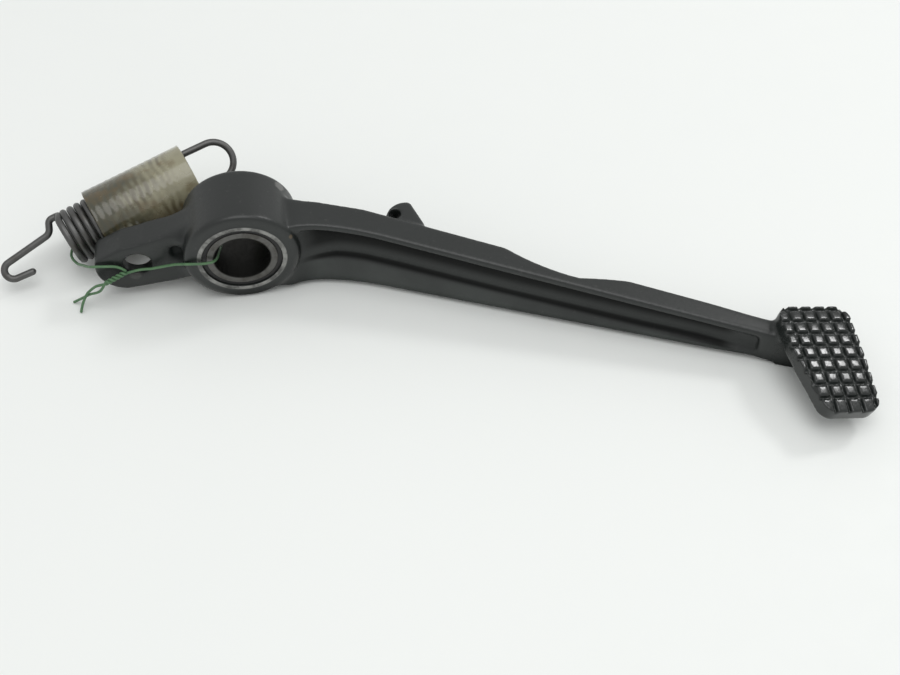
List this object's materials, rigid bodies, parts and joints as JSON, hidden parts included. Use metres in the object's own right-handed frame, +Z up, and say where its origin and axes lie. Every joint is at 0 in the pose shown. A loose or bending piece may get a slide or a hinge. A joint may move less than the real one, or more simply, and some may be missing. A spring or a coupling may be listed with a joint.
{
  "type": "motorbike brake pedal",
  "caption": "Black cast motorbike brake pedal with a ridged foot pad, channel-section arm, pivot hub with sleeve, push rod ear, and its return spring in a hose.",
  "frame": {"origin": "centre of the pivot bore, halfway between the hub's two faces", "axes": "+Y along the pivot bore to the inner side, +X forward from the pivot to the foot pad, +Z up; the hub and the arm's end stand on the plane Z = -18.5 mm"},
  "size_m": [0.2655, 0.1341, 0.037],
  "materials": {
    "black_paint": "satin",
    "sleeve_steel": "worn, turned",
    "bush_bronze": "turned",
    "seal_rubber": "matte",
    "spring_steel": "dull, oiled",
    "hose_plastic": "aged, clouded, see-through"
  },
  "bodies": {
    "lever": {"pedal_lever": "black_paint", "pivot_bush": "bush_bronze", "outer_dust_seal": "seal_rubber", "inner_dust_seal": "seal_rubber", "return_spring": "spring_steel", "spring_hose": "hose_plastic"},
    "sleeve": {"pivot_sleeve": "sleeve_steel"}
  },
  "joints": [
    {"name": "pivot", "type": "hinge", "parent": "lever", "child": "sleeve", "pos_m": [0, 0, 0], "axis": [0, 1, 0], "continuous": true}
  ]
}
